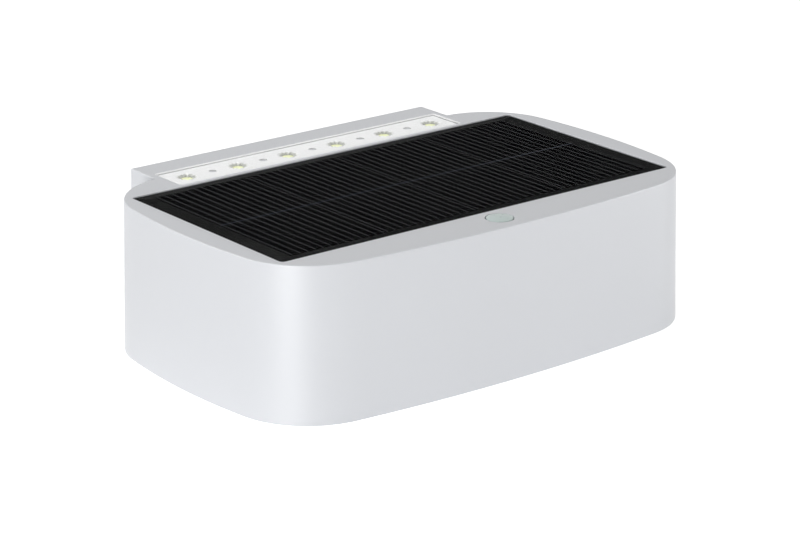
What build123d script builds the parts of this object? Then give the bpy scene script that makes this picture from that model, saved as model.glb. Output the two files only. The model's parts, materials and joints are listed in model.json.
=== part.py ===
from build123d import *

import os
from math import atan, cos, degrees, pi, radians, sin, tan

# Solar fence light, in millimetres.
# X runs along the fence, Y towards the fence and Z up. The origin is the middle of the
# lamp's footprint, on the plane of its lower rim. The panel is centred on the bowed body.

# ================================================================ driving dimensions
# Solar panel: the deck is set out from it
panel_length = 110.0
panel_width = 56.7
panel_corner = 0.8
panel_fit = 0.15
tape_thickness = 0.3
tape_inset = 1.5
panel_board_thickness = 1.0
panel_cover_thickness = 0.7
solar_cell_thickness = 0.2
solar_cell_fit = 0.02
end_border = 4.2
side_border = 2.8
solar_cell_count = 4
solar_cell_gap = 0.25

# Housing: four shallow bows with rounded corners, drafted all round
end_margin = 6.1
side_margin = 11.25
end_bow = 4.0
side_bow = 3.9
corner_radius = 18.6
body_height = 35.4
draft_angle = 1.5
skirt_wall = 2.4
deck_wall = 2.0
floor_wall = 2.0
rim_chamfer = 0.3
seat_chamfer = 0.2

# Light window and the channel below it
window_gap = 1.4
window_length = 82.0
window_width = 10.6
window_thickness = 1.0
window_corner = 0.6
window_fit = 0.12
window_ledge = 0.9
seal_thickness = 0.15
channel_wall = 2.0
light_count = 6
light_pitch = 14.3

# Reflector strip with one pleated cup for each light
reflector_height = 2.4
channel_fit = 0.2
cup_radius = 2.9
throat_radius = 1.55
cup_pleat = 0.28
cup_pleats = 16
cup_depth = 0.55
peg_radius = 0.8
peg_fit = 0.1

# Light packages and their board
package_size = 3.5
package_fit = 0.2
phosphor_radius = 1.5
phosphor_depth = 0.5
phosphor_fit = 0.01
light_board_thickness = 1.0

# Block that squares the rear to the fence, and the pocket in it
block_margin = 2.0
block_reach = 7.9
pocket_wall = 2.0
lip_width = 2.5
lip_thickness = 2.0

# Wall bracket and its lock screw
bracket_plate = 2.25
bracket_fit = 0.25
bracket_bottom = 1.2
flange_width = 5.0
flange_thickness = 2.0
screw_hole_radius = 2.25
screw_hole_spacing = 50.0
screw_hole_height = 17.0
foot_width = 9.0
foot_thickness = 2.2
foot_clearance = 0.3
lock_boss_width = 6.0
lock_boss_height = 10.0

# Base cover and its gasket
rim_wall = 1.2
cover_recess = 1.0
cover_thickness = 2.0
cover_fit = 0.25
gasket_thickness = 0.8
base_boss_radius = 3.5
base_boss_inset = 10.0
rail_thickness = 2.0
rail_height = 4.0
rail_length = 44.0

# Screws: radius of the thread, radius of the head and length with the head
base_thread, base_head, base_length = 1.45, 2.8, 10.0
board_thread, board_head, board_screw_length = 1.0, 1.9, 5.5
lock_thread, lock_head, lock_length = 1.25, 2.0, 9.0
screw_slip = 0.15
pilot_fit = 0.03
pilot_spare = 1.0
recess_radius = 0.45
recess_depth = 0.7

# Small round features that repeat are drawn with this many sides, and leads with fewer
small_sides = 12
phosphor_sides = 16
lead_sides = 6

# Push button
button_inset = 5.1
cap_radius = 3.05
cap_gap = 0.2
cap_dome = 0.5
cap_step = 1.0
cap_length = 4.2
cap_shoulder = 1.8
cap_flange_radius = 3.7
cap_flange_thickness = 0.75
cap_stem_radius = 1.5
guide_gap = 0.1
guide_wall = 1.2
guide_length = 2.6
button_seal_thickness = 0.6
button_travel = 0.5
contact_gap = 0.05

# Tactile switch
switch_size = 4.5
switch_body_height = 3.6
switch_height = 5.0
plunger_radius = 1.3
plunger_gap = 0.08
plunger_depth = 1.4
switch_foot = 0.8

# Main board, hung below the panel floor, and what is soldered to it
board_length = 54.0
board_width = 44.0
board_thickness = 1.6
board_corner = 1.5
board_edge = 0.6
board_boss_radius = 2.4
board_boss_inset = 3.4
board_front_boss = 9.4
chip_length, chip_width, chip_height = 5.0, 4.0, 1.6
inductor_size, inductor_height = 6.0, 4.0
capacitor_radius, capacitor_height = 3.15, 4.8

# Battery: one cylindrical cell in a holder on the base cover
cell_radius = 9.2
cell_length = 65.0
cell_fit = 0.2
battery_inset = 16.4
holder_wall = 1.4
holder_floor = 1.5
holder_end = 2.0
terminal_radius = 2.8
terminal_height = 0.8
contact_thickness = 0.4
contact_space = 1.6
contact_width = 9.0
contact_taper = 20.0
tail_width = 3.0
tail_height = 1.6

# Leads, plugs and sockets
lead_radius = 0.45
lead_pitch = 2.0
plug_length = 6.0
plug_width = 4.6
plug_height = 3.4
plug_fit = 0.1
socket_depth = 5.0
socket_wall = 0.7
socket_x = 18.0
lead_hole_radius = 3.0
panel_lead_inset = 6.95
light_lead_inset = 0.85

# Places on the leads' way
panel_lead_sag = 1.25
panel_lead_bend = 2.8
light_lead_reach = 13.0
light_lead_z = 24.6
battery_lead_x = (3.0, 17.0)
battery_lead_reach = 5.0
battery_lead_rise = 0.75
battery_lead_bend = 6.7
battery_lead_lift = 1.1
battery_lead_drop = 7.2

# ================================================================ worked-out places
draft_slope = tan(radians(draft_angle))
draft_run = body_height * draft_slope
body_length = panel_length + 2 * end_margin
body_width = panel_width + 2 * side_margin
battery_y = body_width / 2 - battery_inset
block_width = window_length + 2 * block_margin
fence_y = body_width / 2 + block_reach
body_y = (draft_run - block_reach) / 2

panel_board_top = body_height - panel_cover_thickness
tape_top = panel_board_top - panel_board_thickness
panel_seat = tape_top - tape_thickness
cavity_top = panel_seat - floor_wall
deck_under = body_height - deck_wall
cover_top = cover_recess + cover_thickness
ledge_z = cover_top + gasket_thickness

window_y = panel_width / 2 + window_gap + window_width / 2
window_seat = body_height - window_thickness - seal_thickness
reflector_top = body_height - window_thickness - contact_gap
light_board_top = reflector_top - reflector_height
channel_floor = light_board_top - light_board_thickness
channel_length = window_length - 2 * window_ledge
channel_width = window_width - 2 * window_ledge
package_height = reflector_height - cup_depth - contact_gap
light_xs = [(n - (light_count - 1) / 2) * light_pitch for n in range(light_count)]
peg_xs = [(n - (light_count - 2) / 2) * light_pitch for n in range(light_count - 1)]
panel_lead_y = panel_width / 2 - panel_lead_inset
light_lead_y = window_y - light_lead_inset

pocket_width = block_width - 2 * pocket_wall
lip_opening = pocket_width - 2 * lip_width
bracket_front = fence_y - bracket_plate
lock_head_height = lock_head - lock_thread
foot_bottom = lock_head_height + foot_clearance
foot_top = foot_bottom + foot_thickness
foot_front = body_width / 2 + draft_run + foot_clearance
lock_y = (foot_front + bracket_front) / 2
lock_boss_reach = bracket_front - foot_clearance - (body_width / 2 + draft_run - rim_wall / 2)

button_y = -panel_width / 2 - button_inset
shoulder_z = body_height - cap_shoulder
flange_top = shoulder_z - button_seal_thickness - contact_gap
stem_end = body_height - cap_length
plunger_top = stem_end - contact_gap
board_top = plunger_top - switch_height
board_bottom = board_top - board_thickness
board_front = button_y - switch_size / 2 - board_edge
board_rear = board_front + board_width
board_boss_x = board_length / 2 - board_boss_inset
board_boss_places = [
    (x, y)
    for x in (-board_boss_x, board_boss_x)
    for y in (board_front + board_front_boss, board_rear - board_boss_inset)
]

base_boss_x = body_length / 2 - end_bow - base_boss_inset
base_boss_y = body_width / 2 - side_bow - base_boss_inset
base_boss_places = [
    (x, y) for x in (-base_boss_x, base_boss_x) for y in (-base_boss_y, base_boss_y)
]

cell_z = cover_top + holder_floor + cell_fit + cell_radius
cell_left = -(cell_length + terminal_height) / 2
holder_inner = cell_length + terminal_height + 2 * contact_space
holder_length = holder_inner + 2 * holder_end
holder_width = 2 * (cell_radius + cell_fit + holder_wall)
holder_top = cell_z + holder_wall

socket_height = plug_height + 2 * socket_wall
socket_width = plug_width + 2 * socket_wall
plug_front = board_rear - socket_depth + socket_wall + plug_fit
plug_rear = plug_front + plug_length
upper_plug_z = board_top + socket_height / 2
lower_plug_z = board_bottom - socket_height / 2


def level(height):
    """Horizontal plane at a height, centred on the bowed body."""
    return Plane((0, body_y, height))


def upright(x, y):
    """Vertical plane across the fence's normal, with its own Y up, through a place."""
    return Plane((x, body_y + y, 0), x_dir=(1, 0, 0), z_dir=(0, -1, 0))


def spindle(x, y):
    """Vertical axis through a place."""
    return Axis((x, body_y + y, 0), (0, 0, 1))


with BuildSketch() as deck_outline:
    deck_corner = Vector(body_length / 2 - end_bow, body_width / 2 - side_bow)
    with BuildLine():
        front = ThreePointArc(-deck_corner, (0, -body_width / 2), (deck_corner.X, -deck_corner.Y))
        right = ThreePointArc(front @ 1, (body_length / 2, 0), deck_corner)
        rear = ThreePointArc(right @ 1, (0, body_width / 2), (-deck_corner.X, deck_corner.Y))
        ThreePointArc(rear @ 1, (-body_length / 2, 0), front @ 0)
    make_face()
    fillet(deck_outline.vertices(), corner_radius)


def body_face(height, inset):
    """Bowed outline of the body at a height, drawn in from its outer surface.

    Every arc of the deck's outline keeps its centre, and its radius takes up the change.
    """
    spread = (body_height - height) * draft_slope - inset
    with BuildSketch() as face:
        with BuildLine():
            for arc in deck_outline.edges():
                swell = 1 + spread / arc.radius
                ThreePointArc(*[arc.arc_center + (arc @ t - arc.arc_center) * swell for t in (0, 0.5, 1)])
        make_face()
    return face.sketch


def small_round(radius):
    """Outline of a small round feature that repeats."""
    RegularPolygon(radius, small_sides)


# Taper that makes the corners of such an outline slope at 45 degrees
head_taper = degrees(atan(cos(pi / small_sides)))


def screw(thread, head, length):
    """Countersunk screw that points up, with the outer face of its head at height zero."""
    head_height = head - thread
    with BuildPart() as body:
        with BuildSketch():
            small_round(thread)
        extrude(amount=length)
        with BuildSketch():
            small_round(head)
        extrude(amount=head_height, taper=head_taper)
        with BuildSketch():
            RegularPolygon(recess_radius * head, 6)
        extrude(amount=recess_depth * head_height, mode=Mode.SUBTRACT)
    return body.part


def save(piece, name):
    """Label a finished piece with its name and write it to the parts folder."""
    piece.part.label = name
    export_step(piece.part, f"parts/{name}.step")


os.makedirs("parts", exist_ok=True)

# ================================================================ housing
with BuildPart() as housing:
    # Square block at the rear, upright against the fence
    with BuildSketch(upright(0, fence_y)):
        with BuildLine():
            Polyline(
                (-block_width / 2 - draft_run, 0),
                (block_width / 2 + draft_run, 0),
                (block_width / 2, body_height),
                (-block_width / 2, body_height),
                close=True,
            )
        make_face()
    extrude(amount=fence_y)
    fence_edges = housing.faces().sort_by(Axis.Y)[-1].edges().sort_by(Axis.Z)[1:]
    chamfer(fence_edges + housing.faces().sort_by(Axis.Z)[-1].edges().filter_by(Axis.Y), rim_chamfer)

    # Bowed body
    with BuildSketch(level(0)):
        add(body_face(0, 0))
    extrude(amount=body_height - rim_chamfer, taper=draft_angle)
    with BuildSketch(level(body_height - rim_chamfer)):
        add(body_face(body_height - rim_chamfer, 0))
    extrude(amount=rim_chamfer, taper=45)

    # Rebate for the base cover, and the cavity above it
    with BuildSketch(level(0)):
        add(body_face(0, rim_wall))
    extrude(amount=ledge_z, taper=draft_angle, mode=Mode.SUBTRACT)
    with BuildSketch(level(ledge_z)):
        add(body_face(ledge_z, skirt_wall))
    extrude(amount=cavity_top - ledge_z, taper=draft_angle, mode=Mode.SUBTRACT)

    # The deck in front of the panel is thinned to a plain wall
    with BuildSketch(level(cavity_top)):
        add(body_face(deck_under, skirt_wall))
        with Locations((0, -panel_width / 2 - panel_fit - floor_wall)):
            Rectangle(panel_length, body_width, align=(Align.CENTER, Align.MAX), mode=Mode.INTERSECT)
    extrude(amount=deck_under - cavity_top, mode=Mode.SUBTRACT)

    # Pocket for the wall bracket, open below, and open to the fence between two lips
    with BuildSketch(level(0)):
        with Locations((0, fence_y - lip_thickness)):
            Rectangle(pocket_width, fence_y / 2, align=(Align.CENTER, Align.MAX))
        with Locations((0, fence_y)):
            Rectangle(lip_opening, fence_y / 2, align=(Align.CENTER, Align.MAX))
        add(body_face(0, 0), mode=Mode.SUBTRACT)
    extrude(amount=deck_under, mode=Mode.SUBTRACT)

    # Channel block that carries the lights, bosses for both sets of screws, and the
    # sleeve that guides the button
    with BuildSketch(level(channel_floor - floor_wall)):
        with Locations((0, window_y)):
            Rectangle(channel_length + 2 * channel_wall, channel_width + 2 * channel_wall)
    extrude(amount=deck_under - channel_floor + floor_wall)
    with BuildSketch(level(cover_top + contact_gap)):
        with Locations(*base_boss_places):
            small_round(base_boss_radius)
    extrude(amount=cavity_top - cover_top - contact_gap)
    with BuildSketch(level(board_top)):
        with Locations(*board_boss_places):
            small_round(board_boss_radius)
    extrude(amount=cavity_top - board_top)
    with BuildSketch(level(shoulder_z - guide_length)):
        with Locations((0, button_y)):
            small_round(cap_flange_radius + guide_gap + guide_wall)
    extrude(amount=deck_under - shoulder_z + guide_length)

    # Boss that the bracket's lock screw bites into
    with BuildSketch(level(foot_top + contact_gap)):
        with Locations((0, bracket_front - foot_clearance)):
            Rectangle(lock_boss_width, lock_boss_reach, align=(Align.CENTER, Align.MAX))
    extrude(amount=lock_boss_height)

    # Seats for the panel and the window, each with a small chamfer on its rim
    with BuildSketch(level(panel_seat)):
        RectangleRounded(
            panel_length + 2 * panel_fit, panel_width + 2 * panel_fit, panel_corner + panel_fit
        )
    extrude(amount=body_height - panel_seat, mode=Mode.SUBTRACT)
    with BuildSketch(level(body_height)):
        rim_fit = panel_fit + seat_chamfer
        RectangleRounded(panel_length + 2 * rim_fit, panel_width + 2 * rim_fit, panel_corner + rim_fit)
    extrude(amount=-seat_chamfer, taper=45, mode=Mode.SUBTRACT)
    with BuildSketch(level(window_seat)):
        with Locations((0, window_y)):
            RectangleRounded(
                window_length + 2 * window_fit, window_width + 2 * window_fit, window_corner + window_fit
            )
    extrude(amount=body_height - window_seat, mode=Mode.SUBTRACT)

    # Light channel with the pegs that centre the strip of lights
    with BuildSketch(level(channel_floor)):
        with Locations((0, window_y)):
            Rectangle(channel_length, channel_width)
        with Locations(*[(x, window_y) for x in peg_xs]):
            RegularPolygon(peg_radius, small_sides, mode=Mode.SUBTRACT)
    extrude(amount=reflector_top - channel_floor, mode=Mode.SUBTRACT)
    with BuildSketch(level(reflector_top)):
        with Locations((0, window_y)):
            Rectangle(channel_length, channel_width)
    extrude(amount=body_height - reflector_top, mode=Mode.SUBTRACT)

    # Button bore, with a wider bore below its shoulder
    with BuildSketch(level(shoulder_z)):
        with Locations((0, button_y)):
            Circle(cap_radius + cap_gap)
    extrude(amount=cap_shoulder, mode=Mode.SUBTRACT)
    with BuildSketch(level(shoulder_z)):
        with Locations((0, button_y)):
            Circle(cap_flange_radius + guide_gap)
    extrude(amount=-guide_length, mode=Mode.SUBTRACT)

    # Holes for the leads, and pilot holes for the screws
    with BuildSketch(level(cavity_top)):
        with Locations((-socket_x, panel_lead_y)):
            small_round(lead_hole_radius)
    extrude(amount=floor_wall, mode=Mode.SUBTRACT)
    with BuildSketch(level(channel_floor)):
        with Locations((socket_x, light_lead_y)):
            small_round(lead_hole_radius)
    extrude(amount=-floor_wall, mode=Mode.SUBTRACT)
    with BuildSketch(level(cover_top)):
        with Locations(*base_boss_places):
            small_round(base_thread + pilot_fit)
    extrude(amount=base_length - cover_thickness + pilot_spare, mode=Mode.SUBTRACT)
    with BuildSketch(level(board_top)):
        with Locations(*board_boss_places):
            small_round(board_thread + pilot_fit)
    extrude(amount=cavity_top - board_top, mode=Mode.SUBTRACT)
    with BuildSketch(level(foot_top)):
        with Locations((0, lock_y)):
            small_round(lock_thread + pilot_fit)
    extrude(amount=lock_length - foot_thickness + pilot_spare, mode=Mode.SUBTRACT)
save(housing, "housing")

# ================================================================ solar panel
with BuildPart() as panel_tape:
    with BuildSketch(level(panel_seat)):
        Rectangle(panel_length - 2 * tape_inset, panel_width - 2 * tape_inset)
        with Locations((-socket_x, panel_lead_y)):
            RegularPolygon(lead_hole_radius, small_sides, mode=Mode.SUBTRACT)
    extrude(amount=tape_thickness)
save(panel_tape, "panel_tape")

with BuildPart() as panel_board:
    with BuildSketch(level(tape_top)):
        RectangleRounded(panel_length, panel_width, panel_corner)
    extrude(amount=panel_board_thickness)
save(panel_board, "panel_board")

active_length = panel_length - 2 * end_border
active_width = panel_width - 2 * side_border
solar_cell_length = (active_length - (solar_cell_count - 1) * solar_cell_gap) / solar_cell_count
for number in range(solar_cell_count):
    cell_x = (number - (solar_cell_count - 1) / 2) * (solar_cell_length + solar_cell_gap)
    with BuildPart() as solar_cell:
        with BuildSketch(level(panel_board_top)):
            with Locations((cell_x, 0)):
                Rectangle(solar_cell_length, active_width)
        extrude(amount=solar_cell_thickness)
    save(solar_cell, f"solar_cell_{number + 1}")

with BuildPart() as panel_cover:
    with BuildSketch(level(panel_board_top)):
        RectangleRounded(panel_length, panel_width, panel_corner)
    extrude(amount=panel_cover_thickness)
    chamfer(panel_cover.faces().sort_by(Axis.Z)[-1].edges(), seat_chamfer / 2)
    with BuildSketch(level(panel_board_top)):
        Rectangle(active_length + 2 * solar_cell_fit, active_width + 2 * solar_cell_fit)
    extrude(amount=solar_cell_thickness + solar_cell_fit, mode=Mode.SUBTRACT)
save(panel_cover, "panel_cover")

# ================================================================ light strip
with BuildPart() as light_window:
    with BuildSketch(level(window_seat + seal_thickness)):
        with Locations((0, window_y)):
            RectangleRounded(window_length, window_width, window_corner)
    extrude(amount=window_thickness)
    chamfer(light_window.faces().sort_by(Axis.Z)[-1].edges(), seat_chamfer / 2)
save(light_window, "light_window")

with BuildPart() as window_seal:
    with BuildSketch(level(window_seat)):
        with Locations((0, window_y)):
            RectangleRounded(window_length, window_width, window_corner)
            Rectangle(channel_length, channel_width, mode=Mode.SUBTRACT)
    extrude(amount=seal_thickness)
save(window_seal, "window_seal")


# Star-shaped rim of a light cup, with a ridge and a groove for each pleat
cup_points = []
for step in range(2 * cup_pleats):
    reach = cup_radius - cup_pleat * (step % 2)
    angle = pi * step / cup_pleats
    cup_points.append(Vector(reach * cos(angle), reach * sin(angle)))

# Flat flanks lead the pleats down to the throat, which is the same star at a smaller size
throat_points = [point * (throat_radius / cup_radius) - Vector(0, 0, cup_depth) for point in cup_points]
cup_faces = [Face(Wire.make_polygon(points)) for points in (cup_points, throat_points)]
for step in range(2 * cup_pleats):
    flank = (cup_points[step - 1], cup_points[step], throat_points[step], throat_points[step - 1])
    cup_faces.append(Face(Wire.make_polygon(flank)))
cup = Solid(Shell(cup_faces))

with BuildPart() as reflector:
    with BuildSketch(level(light_board_top)):
        with Locations((0, window_y)):
            Rectangle(channel_length - 2 * channel_fit, channel_width - 2 * channel_fit)
        with Locations(*[(x, window_y) for x in peg_xs]):
            RegularPolygon(peg_radius + peg_fit, small_sides, mode=Mode.SUBTRACT)
    extrude(amount=reflector_height)
    with BuildSketch(level(light_board_top)):
        with Locations(*[(x, window_y) for x in light_xs]):
            Rectangle(package_size + 2 * package_fit, package_size + 2 * package_fit)
    extrude(amount=reflector_height - cup_depth, mode=Mode.SUBTRACT)
    with Locations(*[(x, body_y + window_y, reflector_top) for x in light_xs]):
        add(cup, mode=Mode.SUBTRACT)
save(reflector, "reflector")

with BuildPart() as light_board:
    with BuildSketch(level(channel_floor)):
        with Locations((0, window_y)):
            Rectangle(channel_length - 2 * channel_fit, channel_width - 2 * channel_fit)
        with Locations(*[(x, window_y) for x in peg_xs]):
            RegularPolygon(peg_radius + peg_fit, small_sides, mode=Mode.SUBTRACT)
    extrude(amount=light_board_thickness)
save(light_board, "light_board")

package_top = light_board_top + package_height
for number, light_x in enumerate(light_xs, start=1):
    with BuildPart() as package:
        with BuildSketch(level(light_board_top)):
            with Locations((light_x, window_y)):
                Rectangle(package_size, package_size)
        extrude(amount=package_height)
        with BuildSketch(level(package_top)):
            with Locations((light_x, window_y)):
                RegularPolygon(phosphor_radius, phosphor_sides)
        extrude(amount=-phosphor_depth, mode=Mode.SUBTRACT)
    save(package, f"light_package_{number}")

    with BuildPart() as phosphor:
        with BuildSketch(level(package_top)):
            with Locations((light_x, window_y)):
                RegularPolygon(phosphor_radius - phosphor_fit, phosphor_sides)
        extrude(amount=-phosphor_depth)
    save(phosphor, f"phosphor_{number}")

# ================================================================ push button
with BuildPart() as button_cap:
    with BuildSketch(upright(0, button_y)):
        with BuildLine():
            Polyline(
                (0, body_height + cap_dome),
                (cap_radius - 2 * cap_step, body_height + cap_dome),
                (cap_radius - cap_step, body_height + 0.6 * cap_dome),
                (cap_radius, body_height),
                (cap_radius, flange_top),
                (cap_flange_radius, flange_top),
                (cap_flange_radius, flange_top - cap_flange_thickness),
                (cap_stem_radius, flange_top - cap_flange_thickness),
                (cap_stem_radius, stem_end),
                (0, stem_end),
                close=True,
            )
        make_face()
    revolve(axis=spindle(0, button_y))
save(button_cap, "button_cap")

with BuildPart() as button_seal:
    with BuildSketch(level(shoulder_z)):
        with Locations((0, button_y)):
            Circle(cap_flange_radius + guide_gap / 2)
            Circle(cap_radius + guide_gap, mode=Mode.SUBTRACT)
    extrude(amount=-button_seal_thickness)
save(button_seal, "button_seal")

switch_top = board_top + switch_body_height
with BuildPart() as switch_body:
    with BuildSketch(level(board_top)):
        with Locations((0, button_y)):
            RectangleRounded(switch_size, switch_size, switch_foot / 2)
    extrude(amount=switch_body_height)
    with BuildSketch(level(board_top)):
        with Locations((0, button_y)):
            with GridLocations(switch_size, switch_size * 2 / 3, 2, 2):
                Rectangle(2 * switch_foot, switch_foot)
    extrude(amount=switch_foot / 4)
    with BuildSketch(level(switch_top)):
        with Locations((0, button_y)):
            Circle(plunger_radius + plunger_gap)
    extrude(amount=-plunger_depth - button_travel - contact_gap, mode=Mode.SUBTRACT)
save(switch_body, "switch_body")

with BuildPart() as switch_plunger:
    with BuildSketch(level(switch_top - plunger_depth)):
        with Locations((0, button_y)):
            Circle(plunger_radius)
    extrude(amount=plunger_top - switch_top + plunger_depth)
save(switch_plunger, "switch_plunger")

# ================================================================ main board
with BuildPart() as main_board:
    with BuildSketch(level(board_bottom)):
        with Locations((0, (board_front + board_rear) / 2)):
            RectangleRounded(board_length, board_width, board_corner)
        with Locations(*board_boss_places):
            RegularPolygon(board_thread + screw_slip, small_sides, mode=Mode.SUBTRACT)
    extrude(amount=board_thickness)
save(main_board, "main_board")

with BuildPart() as board_screws:
    with Locations(*[(x, body_y + y, board_bottom - (board_head - board_thread)) for x, y in board_boss_places]):
        add(screw(board_thread, board_head, board_screw_length))
save(board_screws, "board_screws")

with BuildPart() as charge_chip:
    with BuildSketch(level(board_top)):
        with Locations((-board_length / 4, (board_front + board_rear) / 2)):
            Rectangle(chip_length, chip_width)
    extrude(amount=chip_height)
save(charge_chip, "charge_chip")

with BuildPart() as inductor:
    with BuildSketch(level(board_top)):
        with Locations((board_length / 4, (board_front + board_rear) / 2)):
            RectangleRounded(inductor_size, inductor_size, inductor_size / 4)
    extrude(amount=inductor_height)
save(inductor, "inductor")

with BuildPart() as capacitor:
    with BuildSketch(level(board_top)):
        with Locations((0, (board_front + board_rear) / 2)):
            Circle(capacitor_radius)
    extrude(amount=capacitor_height)
    chamfer(capacitor.faces().sort_by(Axis.Z)[-1].edges(), capacitor_radius / 8)
save(capacitor, "capacitor")


def save_connector(name, x, plug_z):
    """Socket on the board's rear edge and the plug in it, both centred on one height."""
    mouth = Plane((x, body_y + board_rear, plug_z), x_dir=(1, 0, 0), z_dir=(0, 1, 0))
    with BuildPart() as socket:
        with BuildSketch(mouth):
            Rectangle(socket_width, socket_height)
        extrude(amount=-socket_depth)
        with BuildSketch(mouth):
            Rectangle(plug_width + 2 * plug_fit, plug_height + 2 * plug_fit)
        extrude(amount=socket_wall - socket_depth, mode=Mode.SUBTRACT)
    save(socket, f"{name}_socket")
    with BuildPart() as plug:
        with BuildSketch(mouth.offset(plug_front - board_rear)):
            Rectangle(plug_width, plug_height)
        extrude(amount=plug_length)
    save(plug, f"{name}_plug")


save_connector("panel", -socket_x, upper_plug_z)
save_connector("light", socket_x, upper_plug_z)
save_connector("battery", 0, lower_plug_z)


# ================================================================ battery
def across(y, z):
    """Vertical plane along the fence through a place, with its origin on that height."""
    return Plane((0, body_y + y, z), x_dir=(1, 0, 0), z_dir=(0, -1, 0))


cell_axis = Axis((0, body_y + battery_y, cell_z), (1, 0, 0))

with BuildPart() as battery_cell:
    with BuildSketch(across(battery_y, cell_z)):
        with BuildLine():
            cell_right = cell_left + cell_length
            Polyline(
                (cell_left, 0),
                (cell_left, cell_radius),
                (cell_right, cell_radius),
                (cell_right, terminal_radius),
                (cell_right + terminal_height, terminal_radius),
                (cell_right + terminal_height, 0),
                close=True,
            )
        make_face()
    revolve(axis=cell_axis)
save(battery_cell, "battery_cell")

with BuildPart() as battery_holder:
    with BuildSketch(level(cover_top)):
        with Locations((0, battery_y)):
            Rectangle(holder_length, holder_width)
    extrude(amount=holder_top - cover_top)
    with BuildSketch(Plane((-holder_inner / 2, body_y + battery_y, cell_z), x_dir=(0, 1, 0), z_dir=(1, 0, 0))):
        Circle(cell_radius + cell_fit)
        Rectangle(2 * (cell_radius + cell_fit), cell_radius, align=(Align.CENTER, Align.MIN))
    extrude(amount=holder_inner, mode=Mode.SUBTRACT)
save(battery_holder, "battery_holder")

for name, side in (("contact_plus", 1), ("contact_minus", -1)):
    wall_x = side * holder_inner / 2
    with BuildPart() as contact:
        with BuildSketch(Plane((wall_x, body_y + battery_y, cell_z), x_dir=(0, 1, 0), z_dir=(-side, 0, 0))):
            Rectangle(contact_width, contact_width)
            with Locations((0, -side * contact_width / 2)):
                Rectangle(tail_width, tail_height, align=(Align.CENTER, Align.MAX if side > 0 else Align.MIN))
        extrude(amount=contact_thickness)
        with BuildSketch(Plane((wall_x - side * contact_thickness, body_y + battery_y, cell_z), z_dir=(-side, 0, 0))):
            small_round(terminal_radius)
        extrude(amount=contact_space - contact_thickness - contact_gap, taper=contact_taper)
    save(contact, name)


# ================================================================ leads
def save_lead(name, *points):
    """Round lead along straight runs, with arcs as wide as the runs allow."""
    places = [Vector(x, body_y + y, z) for x, y, z in points]
    runs = [end - start for start, end in zip(places, places[1:])]
    radii = []
    for run, next_run in zip(runs, runs[1:]):
        turn = radians(run.get_angle(next_run))
        radii.append(0.45 * min(run.length, next_run.length) / tan(turn / 2))
    with BuildPart() as lead:
        with BuildLine() as route:
            FilletPolyline(*places, radius=radii)
        path = route.wires()[0]
        with BuildSketch(Plane(path @ 0, z_dir=path % 0)):
            RegularPolygon(lead_radius, lead_sides)
        sweep()
    print(name, "length", round(path.length, 1), "radii", [round(radius, 1) for radius in radii])
    save(lead, name)


cell_top = cell_z + cell_radius
tail_x = (holder_inner - contact_thickness) / 2
tail_top = cell_z + contact_width / 2 + tail_height
for colour, side in (("red", 1), ("black", -1)):
    shift = side * lead_pitch / 2
    save_lead(
        f"panel_lead_{colour}",
        (-socket_x + shift, plug_rear + contact_gap, upper_plug_z),
        (-socket_x + shift, (plug_rear + panel_lead_y) / 2, upper_plug_z - panel_lead_sag),
        (-socket_x + shift, panel_lead_y, cavity_top - panel_lead_bend),
        (-socket_x + shift, panel_lead_y, tape_top - contact_gap),
    )
    save_lead(
        f"light_lead_{colour}",
        (socket_x + shift, plug_rear + contact_gap, upper_plug_z),
        (socket_x + shift, plug_rear + light_lead_reach, light_lead_z),
        (socket_x + shift, light_lead_y, light_lead_z),
        (socket_x + shift, light_lead_y, channel_floor - contact_gap),
    )
    save_lead(
        f"battery_lead_{colour}",
        (shift, plug_rear + contact_gap, lower_plug_z),
        (side * battery_lead_x[0], plug_rear + battery_lead_reach, lower_plug_z + battery_lead_rise),
        (side * battery_lead_x[1], battery_y - battery_lead_bend, cell_top + battery_lead_lift),
        (side * tail_x, battery_y, tail_top + battery_lead_drop),
        (side * tail_x, battery_y, tail_top + contact_gap),
    )

# ================================================================ base cover
with BuildPart() as base_cover:
    with BuildSketch(level(cover_recess)):
        add(body_face(cover_recess, rim_wall + cover_fit))
    extrude(amount=cover_thickness, taper=draft_angle)
    # Rails that hold the battery holder in its place
    with BuildSketch(level(cover_top)):
        with Locations((0, battery_y)):
            with GridLocations(0, holder_width + rail_thickness + 2 * cell_fit, 1, 2):
                Rectangle(rail_length, rail_thickness)
    extrude(amount=rail_height)
    # Countersunk screw holes
    with BuildSketch(level(cover_recess)):
        with Locations(*base_boss_places):
            small_round(base_head + screw_slip)
    extrude(amount=base_head - base_thread, taper=head_taper, mode=Mode.SUBTRACT)
    with BuildSketch(level(cover_recess)):
        with Locations(*base_boss_places):
            small_round(base_thread + screw_slip)
    extrude(amount=cover_thickness, mode=Mode.SUBTRACT)
save(base_cover, "base_cover")

with BuildPart() as base_gasket:
    with BuildSketch(level(cover_top)):
        add(body_face(ledge_z, rim_wall + cover_fit))
        add(body_face(cover_top, skirt_wall), mode=Mode.SUBTRACT)
    extrude(amount=gasket_thickness - contact_gap)
save(base_gasket, "base_gasket")

with BuildPart() as base_screws:
    with Locations(*[(x, body_y + y, cover_recess) for x, y in base_boss_places]):
        add(screw(base_thread, base_head, base_length))
save(base_screws, "base_screws")

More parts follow.
